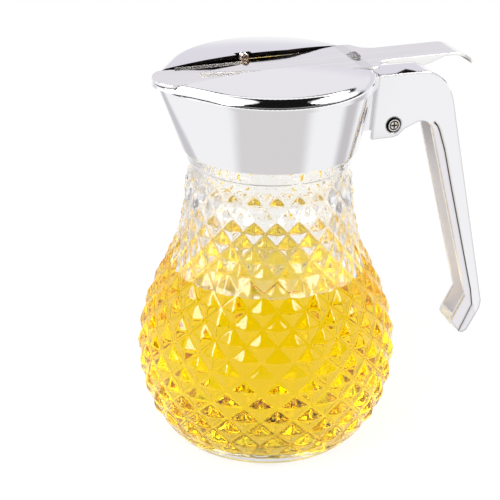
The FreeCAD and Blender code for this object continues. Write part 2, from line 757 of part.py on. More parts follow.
def strip_outline(path, width):
    """Corners of a strip of even width laid along a path of (x, z) points."""
    sides = ([], [])
    for index, (x, z) in enumerate(path):
        before = path[max(index - 1, 0)]
        after = path[min(index + 1, len(path) - 1)]
        along_x, along_z = after[0] - before[0], after[1] - before[1]
        length = math.hypot(along_x, along_z)
        across_x, across_z = -along_z / length * width / 2, along_x / length * width / 2
        sides[0].append((x + across_x, z + across_z))
        sides[1].append((x - across_x, z - across_z))
    return sides[0] + sides[1][::-1]


def draw_handle_side(sketch):
    """Side view of the handle: a level arm, a round bend, a straight raked grip and a kinked foot."""
    top = dim("handle_top_z")
    foot = dim("grip_foot_z")
    bend = Part.BSplineCurve()
    bend.interpolate([Vector(x, z, 0) for x, z in HANDLE_BACK], False)
    sketch.addGeometry(Part.LineSegment(Vector(35.9, top, 0), Vector(51.5, 124.2, 0)), False)
    sketch.addGeometry(bend, False)
    back = [(65.1, 106.0), (79.4, 36.6), (79.0, 33.6), (74.4, foot + 0.6), (72.9, foot), (71.6, foot + 0.3),
            (68.3, foot + 4.8), (68.7, foot + 6.5), (72.9, 39.5), (56.4, 103.0)]
    points = [Vector(x, z, 0) for x, z in back]
    for here, there in zip(points, points[1:]):
        sketch.addGeometry(Part.LineSegment(here, there), False)
    sketch.addGeometry(Part.Arc(points[-1], Vector(54.2, 106.3, 0), Vector(50.6, 106.6, 0)), False)
    under = [(50.6, 106.6), (46.2, 104.9), (43.6, 102.7), (42.0, 102.3), (34.2, 102.3), (35.9, top)]
    under = [Vector(x, z, 0) for x, z in under]
    for here, there in zip(under, under[1:]):
        sketch.addGeometry(Part.LineSegment(here, there), False)


def make_handle():
    """Cast handle: a channel open towards the jar, held to the head's lug by one screw."""
    body = new_body("handle")
    side = new_sketch(body, "XZ_Plane", "handle_side")
    draw_handle_side(side)
    pad(body, side, "handle_pad", "2 * Dims.handle_half_width", midplane=True)
    top = dim("handle_top_z")
    foot = dim("grip_foot_z")
    channel = new_sketch(body, "XZ_Plane", "handle_channel")
    inner = [(20.0, top - 1.9), (51.0, top - 2.1), (55.3, 121.2), (58.5, 118.8), (60.6, 115.6), (62.1, 111.4),
             (63.3, 105.6), (77.6, 36.6), (77.3, 34.4), (73.4, foot + 2.6), (69.0, foot + 8.0),
             (50.0, foot + 22.0), (48.0, 95.0), (20.0, 95.0)]
    draw_polygon(channel, inner)
    pocket(body, channel, "channel_pocket", "2 * (Dims.handle_half_width - Dims.handle_wall)", midplane=True)
    for name, y in (("near", -dim("handle_half_width")), ("far", dim("handle_half_width"))):
        recess = new_sketch(body, "XZ_Plane", "screw_recess_" + name, (0, 0, -y))
        draw_circle(recess, dim("screw_x"), dim("screw_z"), "recess_radius")
        pocket(body, recess, "screw_recess_pocket_" + name, "Dims.recess_depth", reverse=(name == "far"))
        line = new_sketch(body, "XZ_Plane", "grip_line_" + name, (0, 0, -y))
        draw_polygon(line, strip_outline(GRIP_LINE, dim("grip_line_width")))
        pocket(body, line, "grip_line_pocket_" + name, "Dims.grip_line_depth", reverse=(name == "far"))
    hole = new_sketch(body, "XZ_Plane", "screw_hole")
    index = hole.addGeometry(Part.Circle(Vector(dim("screw_x"), dim("screw_z"), 0), Vector(0, 0, 1), 1.45), False)
    limit = hole.addConstraint(Sketcher.Constraint("Radius", index, 1.45))
    hole.setExpression("Constraints[%d]" % limit, "Dims.screw_shank + 0.05")
    pocket(body, hole, "screw_hole_pocket", "30", midplane=True)
    return body


def make_screw():
    """Pan-head screw through both walls of the handle and the head's lug."""
    body = new_body("handle_screw")
    floor = -dim("handle_half_width") + dim("recess_depth")
    shank = new_sketch(body, "XZ_Plane", "shank", (0, 0, -floor))
    draw_circle(shank, dim("screw_x"), dim("screw_z"), "screw_shank")
    pad(body, shank, "shank_pad", "2 * Dims.handle_half_width + 0.9", reverse=True)
    head = new_sketch(body, "XZ_Plane", "screw_head", (0, 0, -floor))
    circle = Part.Circle(Vector(dim("screw_x"), dim("screw_z"), 0), Vector(0, 0, 1), 2.2)
    head.addGeometry(circle, False)
    pad(body, head, "screw_head_pad", "Dims.recess_depth + 0.5")
    return body


def disc(label, outer, bore, x, z, y_low, y_high):
    """Round disc with a hole, lying square to the Y axis."""
    part = doc.addObject("Part::Cut", label)
    part.Base = rod(label + "_body", outer, x, z, y_low, y_high)
    part.Tool = rod(label + "_bore", bore, x, z, "(%s) - 1" % y_low, "(%s) + 1" % y_high)
    part.Label = label
    return part


def make_nut():
    """Six-sided nut on the end of the screw, over the washer in the far recess."""
    floor = dim("handle_half_width") - dim("recess_depth") + dim("washer_thickness")
    blank = doc.addObject("Part::Prism", "nut_blank")
    bind(blank, Circumradius="2.45", Height="1.3")
    blank.Polygon = 6
    blank.Placement = Placement(Vector(dim("screw_x"), floor, dim("screw_z")), Rotation(Vector(1, 0, 0), -90))
    bind(blank, **{"Placement.Base.x": "Dims.screw_x", "Placement.Base.z": "Dims.screw_z"})
    nut = doc.addObject("Part::Cut", "handle_nut")
    nut.Base = blank
    nut.Tool = rod("nut_bore", "Dims.screw_shank + 0.03", "Dims.screw_x", "Dims.screw_z", "0", "9")
    nut.Label = "handle_nut"
    return nut


def make_rivets():
    """Two flat rivets that hold the lever down on the blade."""
    rivets = []
    for index, x in enumerate((-9.0, 14.0)):
        low = "Dims.blade_bottom_z - 0.35"
        head = doc.addObject("Part::Cylinder", "rivet_%d" % index)
        bind(head, Radius="Dims.rivet_radius", Height="0.35")
        bind(head, **{"Placement.Base.x": str(x), "Placement.Base.z": low})
        rivets.append(head)
    group = doc.addObject("Part::Compound", "lever_rivets")
    group.Links = rivets
    group.Label = "lever_rivets"
    return group


def make_clips():
    """Two rings that keep the pivot pin from sliding out of the cover's lugs."""
    rings = []
    for side, y in (("far", 12.7), ("near", -12.7 - dim("clip_thickness"))):
        rings.append(disc("clip_" + side, "Dims.clip_radius", "Dims.pin_radius + 0.02", "-Dims.pivot_x",
                          "Dims.pivot_z", str(y), str(y + dim("clip_thickness"))))
    group = doc.addObject("Part::Compound", "pin_clips")
    group.Links = rings
    group.Label = "pin_clips"
    return group


jar = make_glass_jar()
head = make_head()
cover = make_cover()
gasket = ring("jar_gasket", "Dims.mouth_radius", "Dims.finish_radius", "Dims.jar_top_z",
              "Dims.gasket_thickness")
collar = ring("neck_collar", "Dims.collar_inner_radius", "Dims.collar_outer_radius",
              "Dims.head_bottom_z + 0.6", "Dims.collar_length")
blade = make_blade()
lever = make_lever()
pivot = rod("pivot_pin", "Dims.pin_radius", "-Dims.pivot_x", "Dims.pivot_z", "-Dims.pin_half_length",
            "Dims.pin_half_length")
post = rod("spring_post", "Dims.post_radius", "-Dims.pivot_x", "Dims.spring_z + Dims.spring_mean_radius",
           "6.5", "12.7")
washer = disc("post_washer", "Dims.washer_radius", "Dims.post_radius + 0.02", "-Dims.pivot_x",
              "Dims.spring_z + Dims.spring_mean_radius", "7.2 - Dims.washer_thickness", "7.2")
spring = make_spring()
handle = make_handle()
screw = make_screw()
nut = make_nut()
lock = disc("handle_washer", "Dims.recess_radius - 0.15", "Dims.screw_shank + 0.1", "Dims.screw_x",
            "Dims.screw_z", "Dims.handle_half_width - Dims.recess_depth",
            "Dims.handle_half_width - Dims.recess_depth + Dims.washer_thickness")
rivets = make_rivets()
clips = make_clips()

doc.recompute()
for obj in doc.Objects:
    if "Invalid" in obj.State or "Error" in obj.State:
        raise RuntimeError("%s failed: %s" % (obj.Name, obj.State))

nodes = [jar, gasket, collar, head, cover, blade, lever, rivets, pivot, clips, post, washer, spring,
         handle, screw, lock, nut]
os.makedirs("parts", exist_ok=True)
for node in nodes:
    shape = node.Shape
    if shape.isNull() or not shape.isValid():
        raise RuntimeError(node.Label + " has no valid shape")
    box = shape.BoundBox
    print("%-14s solids %d volume %9.1f  x %7.2f %7.2f  y %7.2f %7.2f  z %7.2f %7.2f" % (
        node.Label, len(shape.Solids), shape.Volume, box.XMin, box.XMax, box.YMin, box.YMax,
        box.ZMin, box.ZMax))
    shape.exportStep("parts/%s.step" % node.Label)
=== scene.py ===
import bmesh
import bpy
import math
import numpy as np
from mathutils import Matrix, Vector


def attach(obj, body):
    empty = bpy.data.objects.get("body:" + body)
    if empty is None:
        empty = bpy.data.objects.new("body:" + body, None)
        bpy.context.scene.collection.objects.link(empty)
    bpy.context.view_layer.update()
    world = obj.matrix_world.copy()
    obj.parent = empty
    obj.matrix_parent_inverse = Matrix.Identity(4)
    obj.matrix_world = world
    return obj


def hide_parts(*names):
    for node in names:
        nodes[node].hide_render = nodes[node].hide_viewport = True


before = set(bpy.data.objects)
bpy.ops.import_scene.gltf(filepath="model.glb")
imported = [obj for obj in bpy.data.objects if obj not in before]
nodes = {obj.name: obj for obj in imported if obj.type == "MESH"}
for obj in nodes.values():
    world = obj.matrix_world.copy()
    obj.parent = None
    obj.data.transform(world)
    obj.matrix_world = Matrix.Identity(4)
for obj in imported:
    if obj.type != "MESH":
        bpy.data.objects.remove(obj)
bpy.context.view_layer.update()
scene = bpy.context.scene
scene.view_settings.view_transform = "Standard"
scene.cycles.max_bounces = 32
scene.cycles.transmission_bounces = 32
scene.cycles.glossy_bounces = 12
scene.cycles.transparent_max_bounces = 16

# Camera. It stands to the left of the handle side and looks down at the jar by 24 degrees,
# from 0.6 m, with a lens of 130 mm, worked out from the ellipses of the head and the base.
CAMERA_PLACE = (-0.20228, -0.51281, 0.31025)
CAMERA_ANGLES = (-20.912, 23.977, 0.883)
LENS_MM = 129.56
SENSOR_MM = 36
azimuth, elevation, roll = (math.radians(angle) for angle in CAMERA_ANGLES)
back = Vector((math.sin(azimuth) * math.cos(elevation), -math.cos(azimuth) * math.cos(elevation),
               math.sin(elevation)))
level = Vector((math.cos(azimuth), math.sin(azimuth), 0))
rise = back.cross(level)
across = level * math.cos(roll) + rise * math.sin(roll)
upright = rise * math.cos(roll) - level * math.sin(roll)
camera_data = bpy.data.cameras.new("camera")
camera_data.sensor_width = SENSOR_MM
camera_data.lens = LENS_MM
camera_data.clip_start = 0.01
camera = bpy.data.objects.new("camera", camera_data)
scene.collection.objects.link(camera)
turn = Matrix((across, upright, back)).transposed().to_4x4()
camera.matrix_world = Matrix.Translation(CAMERA_PLACE) @ turn
scene.camera = camera


# Studio. Glass and polished metal see a pale tent with two soft boxes, left and right of the
# camera, which lean together overhead and leave the dark of the room between them. Two lamps,
# which neither glass nor metal shows, light what is matt.
def srgb(text):
    """Linear colour of an sRGB hex value: ((c + 0.055) / 1.055) ^ 2.4, or c / 12.92 when small."""
    parts = [int(text[i:i + 2], 16) / 255 for i in (1, 3, 5)]
    return [c / 12.92 if c <= 0.04045 else ((c + 0.055) / 1.055) ** 2.4 for c in parts] + [1.0]


def add(tree, kind, settings=None, inputs=None):
    """Adds one node; inputs maps a socket's name or number to a value or another node's socket."""
    node = tree.nodes.new(kind)
    for name, value in (settings or {}).items():
        setattr(node, name, value)
    for socket, value in (inputs or {}).items():
        if isinstance(value, bpy.types.NodeSocket):
            tree.links.new(value, node.inputs[socket])
        else:
            node.inputs[socket].default_value = value
    return node


world = bpy.data.worlds.new("studio")
scene.world = world
world.use_nodes = True
tree = world.node_tree
tree.nodes.clear()
ray = add(tree, "ShaderNodeLightPath")
way = add(tree, "ShaderNodeTexCoord").outputs["Generated"]
# a ray's direction, split into its part to the right of the camera, towards it, and up
TO_RIGHT = (math.cos(azimuth), math.sin(azimuth), 0.0)
TO_FRONT = (math.sin(azimuth), -math.cos(azimuth), 0.0)
TO_TOP = (0.0, 0.0, 1.0)
right_part, front_part, up_part = (
    add(tree, "ShaderNodeVectorMath", {"operation": "DOT_PRODUCT"},
        {0: way, 1: axis}).outputs["Value"] for axis in (TO_RIGHT, TO_FRONT, TO_TOP))


def between(tree, limits, within=1.0):
    """Mask that is 1 where every value lies between its low and its high, with soft edges.

    Each limit is (value, low, high, soft). The mask is within, times the smaller of two smooth
    ramps for each limit: one that rises across low and one that falls across high.
    """
    for value, low, high, soft in limits:
        enter = add(tree, "ShaderNodeMapRange", {"interpolation_type": "SMOOTHSTEP"},
                    {0: value, 1: low - soft, 2: low + soft, 3: 0.0, 4: 1.0})
        leave = add(tree, "ShaderNodeMapRange", {"interpolation_type": "SMOOTHSTEP"},
                    {0: value, 1: high - soft, 2: high + soft, 3: 1.0, 4: 0.0})
        inner = add(tree, "ShaderNodeMath", {"operation": "MINIMUM"},
                    {0: enter.outputs[0], 1: leave.outputs[0]})
        within = add(tree, "ShaderNodeMath", {"operation": "MULTIPLY"},
                     {0: within, 1: inner.outputs[0]}).outputs[0]
    return within


# what shows through the glass is the dark between the soft boxes; a low of -1 or less and a high
# of 2 are no limits, because no part of a direction is longer than 1
through = ray.outputs["Is Transmission Ray"]
aside = add(tree, "ShaderNodeMath", {"operation": "ABSOLUTE"}, {0: right_part}).outputs[0]
leaning = add(tree, "ShaderNodeMath", {"operation": "MULTIPLY_ADD"},
              {0: up_part, 1: 0.56, 2: aside}).outputs[0]
seen_through = between(tree, [(leaning, -1.0, 0.72, 0.03), (front_part, -0.35, 2.0, 0.04)], through)
# what metal mirrors has a wedge of dark a little to the right and a thin dark line low down
shifted = add(tree, "ShaderNodeMath", {"operation": "SUBTRACT"},
              {0: right_part, 1: 0.12}).outputs[0]
shifted = add(tree, "ShaderNodeMath", {"operation": "ABSOLUTE"}, {0: shifted}).outputs[0]
wedge = add(tree, "ShaderNodeMath", {"operation": "MULTIPLY_ADD"},
            {0: up_part, 1: 0.80, 2: shifted}).outputs[0]
mirror_gap = between(tree, [(wedge, -1.0, 1.03, 0.03), (up_part, 0.10, 2.0, 0.05)])
low_line = between(tree, [(up_part, 0.10, 0.26, 0.04)])
mirror_gap = add(tree, "ShaderNodeMath", {"operation": "MAXIMUM"},
                 {0: mirror_gap, 1: low_line}).outputs[0]
not_through = add(tree, "ShaderNodeMath", {"operation": "SUBTRACT"},
                  {0: 1.0, 1: through}).outputs[0]
mirror_gap = between(tree, [(front_part, -0.50, 2.0, 0.04)], mirror_gap)
mirror_gap = add(tree, "ShaderNodeMath", {"operation": "MULTIPLY"},
                 {0: mirror_gap, 1: not_through}).outputs[0]
# the backdrop is lilac white, whiter at its foot and its upper part, with a dark edge on top
behind = between(tree, [(front_part, -2.0, -0.42, 0.10)])
backdrop = between(tree, [(up_part, -2.0, 0.60, 0.03)], behind)
low_white = between(tree, [(up_part, -2.0, 0.10, 0.08)], behind)
light_upper = between(tree, [(up_part, 0.36, 0.60, 0.05)], behind)
dark_edge = between(tree, [(up_part, 0.60, 0.68, 0.02)], behind)
# the strong middles of the soft boxes, and of two more high up behind the object
strong = between(tree,
                 [(aside, 0.42, 0.78, 0.03), (up_part, 0.30, 0.76, 0.03),
                  (front_part, 0.0, 2.0, 0.05)])
back_boxes = between(tree,
                     [(aside, 0.30, 0.70, 0.03), (up_part, 0.70, 0.90, 0.03),
                      (front_part, -2.0, -0.15, 0.05)])
strong = add(tree, "ShaderNodeMath", {"operation": "MAXIMUM"},
             {0: strong, 1: back_boxes}).outputs[0]
TENT = (1.15, 1.15, 1.15, 1.0)
SOFT_BOX = (11.0, 10.4, 10.0, 1.0)
tone = add(tree, "ShaderNodeMix", {"data_type": "RGBA"},
           {"Factor": strong, 6: TENT, 7: SOFT_BOX}).outputs[2]
# the dark that metal mirrors is grey low down and nearly black above
depth_tone = add(tree, "ShaderNodeMapRange", {"interpolation_type": "SMOOTHSTEP"},
                 {0: up_part, 1: 0.33, 2: 0.46, 3: 0.30, 4: 0.008}).outputs[0]
line_tone = between(tree, [(up_part, -1.0, 0.25, 0.02)])
depth_tone = add(tree, "ShaderNodeMix", {"data_type": "FLOAT"},
                 {0: line_tone, 2: depth_tone, 3: 0.01}).outputs[0]
gap_colour = add(tree, "ShaderNodeCombineColor", None,
                 {0: depth_tone, 1: depth_tone, 2: depth_tone}).outputs[0]
for mask, colour in ((seen_through, (0.30, 0.29, 0.28, 1.0)), (mirror_gap, gap_colour),
                     (dark_edge, (0.02, 0.02, 0.02, 1.0)), (backdrop, srgb("#E6E3EB")),
                     (light_upper, srgb("#F4F2F6")), (low_white, (1.0, 1.0, 1.0, 1.0))):
    tone = add(tree, "ShaderNodeMix", {"data_type": "RGBA"},
               {"Factor": mask, 6: tone, 7: colour}).outputs[2]
shine = add(tree, "ShaderNodeBackground", None, {"Color": tone, "Strength": 1.0})
fill = add(tree, "ShaderNodeBackground", None, {"Color": srgb("#F4F4F6"), "Strength": 0.62})
white = add(tree, "ShaderNodeBackground", None, {"Color": (1, 1, 1, 1), "Strength": 1.0})
sees_studio = add(tree, "ShaderNodeMath", {"operation": "MAXIMUM"},
                  {0: ray.outputs["Is Glossy Ray"], 1: ray.outputs["Is Transmission Ray"]})
lit = add(tree, "ShaderNodeMixShader", None,
          {0: sees_studio.outputs[0], 1: fill.outputs[0], 2: shine.outputs[0]})
final = add(tree, "ShaderNodeMixShader", None,
            {0: ray.outputs["Is Camera Ray"], 1: lit.outputs[0], 2: white.outputs[0]})
add(tree, "ShaderNodeOutputWorld", None, {"Surface": final.outputs[0]})

LAMPS_AIM = Vector((0, 0, 0.06))
for name, place, size, watts in (("key_lamp", (-0.45, -0.35, 0.75), 0.5, 5.0),
                                 ("fill_lamp", (0.60, -0.30, 0.45), 0.4, 1.8)):
    lamp = bpy.data.lights.new(name, "AREA")
    lamp.size = size
    lamp.energy = watts
    holder = bpy.data.objects.new(name, lamp)
    holder.location = place
    holder.rotation_euler = (LAMPS_AIM - Vector(place)).to_track_quat("-Z", "Y").to_euler()
    holder.visible_glossy = False
    holder.visible_transmission = False
    scene.collection.objects.link(holder)


# Floor. A matt white card that runs from under the jar to well past the picture's edges. Glass
# and metal see it paler or greyer with the direction from the jar's axis, as the lamps leave it.
def surface(name, points, wrap=False, flip=False):
    """A smooth mesh on a grid: points has shape (u, v, 3), in metres, and wrap closes it along v.

    Each cell of the grid is one quad whose corners are (i, j), (i+1, j), (i+1, j+1), (i, j+1).
    """
    rows, columns = points.shape[:2]
    i, j = np.meshgrid(np.arange(rows - 1), np.arange(columns if wrap else columns - 1),
                       indexing="ij")
    beside = (j + 1) % columns
    quads = np.stack([i * columns + j, (i + 1) * columns + j, (i + 1) * columns + beside,
                      i * columns + beside], -1).reshape(-1, 4)
    if flip:
        quads = quads[:, ::-1]
    mesh = bpy.data.meshes.new(name)
    mesh.from_pydata(points.reshape(-1, 3).tolist(), [], quads.tolist())
    mesh.polygons.foreach_set("use_smooth", np.ones(len(quads), bool))
    mesh.update()
    piece = bpy.data.objects.new(name, mesh)
    scene.collection.objects.link(piece)
    return piece


def coat(piece, material):
    """Gives every face of a piece one material."""
    piece.data.materials.clear()
    piece.data.materials.append(material)


def new_material(name):
    """Empty node material; returns it, its tree and its output node."""
    material = bpy.data.materials.new(name)
    material.use_nodes = True
    material.node_tree.nodes.clear()
    return material, material.node_tree, add(material.node_tree, "ShaderNodeOutputMaterial")


FLOOR_REACH = 1.6
FLOOR_Z = -0.0001
side = np.linspace(-FLOOR_REACH, FLOOR_REACH, 3)
floor = surface("floor", np.stack(np.meshgrid(side, side, [FLOOR_Z], indexing="ij"), -1)[:, :, 0])
floor_material, tree, out = new_material("white_sweep")
# matt white card: what glass and metal see of it has painted shade, a pale grey wedge towards the
# camera and darker ones at the right and behind on the left, and what glass sees has a painted
# shadow of the jar on it, darker close to the jar
ray = add(tree, "ShaderNodeLightPath")
spot = add(tree, "ShaderNodeTexCoord").outputs["Object"]
right_part, front_part = (
    add(tree, "ShaderNodeVectorMath", {"operation": "DOT_PRODUCT"},
        {0: spot, 1: axis}).outputs["Value"] for axis in (TO_RIGHT, TO_FRONT))
bearing = add(tree, "ShaderNodeMath", {"operation": "ARCTAN2"},
              {0: right_part, 1: front_part}).outputs[0]
tone = srgb("#FFFFFF")
for low, high, soft, colour in ((-42, 45, 9, "#E0DDDD"), (92, 116, 8, "#CFCCCE"),
                                (-150, -112, 12, "#D2CFD3")):
    wedge = between(tree, [(bearing, math.radians(low), math.radians(high), math.radians(soft))])
    tone = add(tree, "ShaderNodeMix", {"data_type": "RGBA"},
               {"Factor": wedge, 6: tone, 7: srgb(colour)}).outputs[2]
# painted shadow of the jar, seen only through glass: the card is darker close to the jar's axis
away = add(tree, "ShaderNodeVectorMath", {"operation": "LENGTH"}, {0: spot}).outputs["Value"]
shade = add(tree, "ShaderNodeMapRange", {"interpolation_type": "SMOOTHSTEP"},
            {0: away, 1: 0.03, 2: 0.20, 3: 0.45, 4: 0.92})
painted_shadow_strength = add(tree, "ShaderNodeMath", {"operation": "MAXIMUM"},
           {0: shade.outputs[0], 1: ray.outputs["Is Glossy Ray"]})
card = add(tree, "ShaderNodeEmission", None, {"Color": tone, "Strength": painted_shadow_strength.outputs[0]})
paper = add(tree, "ShaderNodeBsdfDiffuse", None, {"Color": (0.93, 0.93, 0.93, 1)})
glow = add(tree, "ShaderNodeEmission", None, {"Color": (1, 1, 1, 1), "Strength": 1.06})
seen = add(tree, "ShaderNodeMath", {"operation": "MULTIPLY"},
           {0: ray.outputs["Is Camera Ray"], 1: 0.82})
mirrored = add(tree, "ShaderNodeMath", {"operation": "MAXIMUM"},
               {0: ray.outputs["Is Glossy Ray"], 1: ray.outputs["Is Transmission Ray"]})
plain = add(tree, "ShaderNodeMixShader", None,
            {0: seen.outputs[0], 1: paper.outputs[0], 2: glow.outputs[0]})
mixed = add(tree, "ShaderNodeMixShader", None,
            {0: mirrored.outputs[0], 1: plain.outputs[0], 2: card.outputs[0]})
tree.links.new(mixed.outputs[0], out.inputs["Surface"])
coat(floor, floor_material)

# Glass jar. Pressed soda glass: 24 columns of diamonds, each a low pyramid, run from the heel to
# the neck. The foot, the bead under the head and the threaded finish are smooth. Sizes are in
# millimetres, and each station is a height and a radius.
JAR_STATIONS = np.array([(0.0, 30.4), (3.0, 33.3), (8.0, 36.9), (14.0, 39.5), (21.0, 41.6),
                         (30.0, 42.7),
                         (37.0, 42.4), (45.0, 40.8), (52.0, 38.4), (59.0, 35.4), (66.0, 32.0),
                         (73.0, 29.6),
                         (82.0, 27.9), (97.0, 26.6)])
BELLY_R = 42.7
COLUMNS = 24
LEVELS = 18
FINE = 7  # cells of the mesh across half a diamond
FIRST_ROW = 6.6
ROW_STEP = 5.35
ROW_CLOSING = 0.00118
PATTERN_TURN = -0.8
DIAMOND_RISE = 1.45
FULLNESS = 1.35
GROOVE = 1.05  # over 1 leaves a narrow flat between two diamonds
FADE = 1.4  # rows, at both ends of the pattern, over 1.4
VALLEY = 0.42
WALL = 2.9
INNER_R = 40.2
BEAD_R = 27.25
FINISH_R = 25.4
THREAD_LOW = 104.6
THREAD_HIGH = 112.4
THREAD_LEAD = 3.5
THREAD_RISE = 0.45
FILL = 61.5
MENISCUS = 0.3
POLE = 0.001
MM = 0.001


def jar_radius(z):
    """Outer radius of the jar at height z: a cubic through the stations, with central slopes."""
    heights, radii = JAR_STATIONS.T
    slopes = np.gradient(radii, heights)
    slopes[1:-1] = (radii[2:] - radii[:-2]) / (heights[2:] - heights[:-2])
    k = np.clip(np.searchsorted(heights, z, side="right") - 1, 0, len(heights) - 2)
    span = heights[k + 1] - heights[k]
    t = (z - heights[k]) / span
    return ((1 + 2 * t) * (1 - t) ** 2 * radii[k] + t * (1 - t) ** 2 * span * slopes[k]
            + t * t * (3 - 2 * t) * radii[k + 1] + t * t * (t - 1) * span * slopes[k + 1])


def soft_wave(x):
    """Distance from x to the nearest odd number, 0 to 1, with its corners slightly rounded."""
    return np.arccos(0.992 * np.cos(np.pi * (x - 1))) / np.pi


around = COLUMNS * 2 * FINE
angle = np.arange(around) * 2 * np.pi / around + math.radians(PATTERN_TURN)
level_index = np.arange(LEVELS * FINE + 1) / FINE
row = np.arange(LEVELS + 1)
rows_z = FIRST_ROW + ROW_STEP * row - ROW_CLOSING * row ** 3
band_z = np.interp(level_index, row, rows_z)
column = np.arange(around) / (2 * FINE)
A, T = np.meshgrid(column, level_index)
Z = np.repeat(band_z[:, None], around, 1)
# each diamond is a pyramid with slightly full sides and a narrow flat between it and the next:
# height = rise x (1 - steep ^ fullness), where steep is the larger of its two distances from
# the middle
steep = np.minimum(np.maximum(soft_wave(2 * A + T), soft_wave(2 * A - T)) * GROOVE, 1)
fade = np.clip(T * FADE, 0, 1) * np.clip((LEVELS - T) * FADE, 0, 1)
rise_mm = DIAMOND_RISE * (0.45 + 0.55 * jar_radius(Z) / BELLY_R)
band_r = jar_radius(Z) - VALLEY + rise_mm * (1 - steep ** FULLNESS) * fade


def close_poles(piece):
    """Merges the ring of points round each pole, POLE millimetres in radius, into one point."""
    shape = bmesh.new()
    shape.from_mesh(piece.data)
    bmesh.ops.remove_doubles(shape, verts=shape.verts, dist=3 * POLE * MM)
    shape.to_mesh(piece.data)
    shape.free()


def turned(profile):
    """Rings (z, r) repeated round the axis, as arrays shaped like the diamond band."""
    profile = np.array(profile, float)
    return (np.repeat(profile[:, :1], around, 1), np.repeat(profile[:, 1:], around, 1))


def rounded(points, steps=4, reach=0.35):
    """A profile with each inner corner replaced by a short quadratic curve."""
    points = np.array(points, float)
    out = [points[0]]
    for before, corner, after in zip(points, points[1:], points[2:]):
        a = corner + (before - corner) * reach
        b = corner + (after - corner) * reach
        for t in np.linspace(0, 1, steps):
            out.append((1 - t) ** 2 * a + 2 * t * (1 - t) * corner + t * t * b)
    out.append(points[-1])
    return np.array(out)


foot_z = np.array([3.8, 5.0, 5.8])
foot = rounded([(0.9, 0.0), (0.9, 23.5), (0.0, 25.0), (0.0, 29.3), (1.0, 31.0),
                (2.6, jar_radius(2.6))], 4)
foot = np.vstack([[(0.9, POLE)], foot[1:], np.stack([foot_z, jar_radius(foot_z)], 1)])
neck_r = float(jar_radius(96.0)) - VALLEY
neck = rounded([(96.4, neck_r), (98.8, neck_r), (99.4, BEAD_R), (103.3, BEAD_R), (103.7, 26.6),
                (104.2, FINISH_R)], 5)
lip = rounded([(112.8, 25.45), (113.9, FINISH_R), (113.95, 22.6), (113.0, 22.35), (92.0, 22.45)], 5)
inner_z = np.concatenate([np.arange(90, 62, -2.0), [FILL + MENISCUS], np.arange(60, 13, -2.0),
                          [12.0, 10.5]])
inner_r = np.minimum(jar_radius(inner_z) - WALL, INNER_R)
inner_r[:2] = 22.7, 23.1
bowl = [(9.0, float(jar_radius(9.0)) - 4.1), (7.6, float(jar_radius(8.0)) - 6.0),
        (6.2, float(jar_radius(7.0)) - 8.6),
        (5.6, 25.0), (5.5, 18.0), (5.5, POLE)]
inside = np.vstack([np.stack([inner_z, inner_r], 1), np.array(bowl)])

# the thread is one round ridge that climbs its lead in a turn and runs out at both ends
height = np.repeat(np.linspace(THREAD_LOW, THREAD_HIGH, 26)[:, None], around, 1)
phase = np.mod((height - THREAD_LOW) / THREAD_LEAD - angle / (2 * np.pi) + 0.5, 1) - 0.5
run_out = np.clip(np.minimum(height - THREAD_LOW, THREAD_HIGH - height) / 1.2, 0, 1)
thread_r = FINISH_R + THREAD_RISE * np.exp(-(phase / 0.16) ** 2) * run_out

parts_z, parts_r = zip(turned(foot), (Z, band_r), turned(neck), (height, thread_r), turned(lip),
                       turned(inside))
jar_z = np.vstack(parts_z)
jar_r = np.vstack(parts_r)
jar_points = np.stack([jar_r * np.cos(angle), jar_r * np.sin(angle), jar_z], -1) * MM
jar = surface("pressed_jar", jar_points, wrap=True, flip=True)
# the honey wets the inside up to its edge, and glass against honey neither mirrors nor bends light
wet_rows = len(inside) - np.flatnonzero(inside[:, 0] <= FILL + MENISCUS)[0] - 1
wet = np.zeros(len(jar_points) - 1, int)
wet[-wet_rows:] = 1

jar_glass, tree, out = new_material("pressed_soda_glass")
# clear glass with a faint green tint in its thick parts and a slightly uneven, fire-polished skin
spot = add(tree, "ShaderNodeTexCoord")
ripple = add(tree, "ShaderNodeTexNoise", None,
             {"Vector": spot.outputs["Object"], "Scale": 260.0, "Detail": 2.0})
skin = add(tree, "ShaderNodeBump", None,
           {"Height": ripple.outputs[0], "Strength": 0.06, "Distance": 0.0004})
clear = add(tree, "ShaderNodeBsdfPrincipled", None,
            {"Base Color": (0.955, 0.957, 0.950, 1.0), "Roughness": 0.0, "IOR": 1.5,
             "Transmission Weight": 1.0,
             "Normal": skin.outputs[0]})
tree.links.new(clear.outputs[0], out.inputs["Surface"])
coat(jar, jar_glass)
wet_glass, tree, out = new_material("glass_wetted_by_honey")
# glass and honey bend light alike, so their common face is there but can't be seen
unseen = add(tree, "ShaderNodeBsdfPrincipled", None,
             {"Base Color": (1, 1, 1, 1), "Roughness": 0.0, "IOR": 1.0, "Transmission Weight": 1.0})
tree.links.new(unseen.outputs[0], out.inputs["Surface"])
jar.data.materials.append(wet_glass)
jar.data.polygons.foreach_set("material_index", np.repeat(wet, around))
close_poles(jar)
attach(jar, "jar")
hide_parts("glass_jar")

# Honey. Clear acacia honey, poured in: it fills the jar to just over half and climbs the wall a
# little at its edge. The body has the colour; the skin over it is the only face that meets air.
LAP = 0.02  # how far the honey reaches into the glass, so that their faces don't coincide
side_z = np.linspace(10.5, FILL - 1.5, 30)
honey_side = np.stack([side_z, np.minimum(jar_radius(side_z) - WALL, INNER_R) + LAP], 1)
honey_bowl = np.array(bowl)[::-1] - (LAP, 0.0)
honey_bowl[3:, 1] += LAP
edge_r = float(jar_radius(FILL + MENISCUS) - WALL)
skin_line = np.array([[MENISCUS, 0.0], [0.18, 0.25], [-0.15, 0.8], [-0.40, 1.7], [-0.52, 3.0],
                      [-0.6, 8.0],
                      [-0.6, edge_r - 12.0], [-0.6, edge_r - 0.001]])
skin_top = np.stack([FILL + skin_line[:, 0], edge_r - skin_line[:, 1]], 1)
skin_low = skin_top - (0.25, 0.0)
HONEY_SIDES = 180
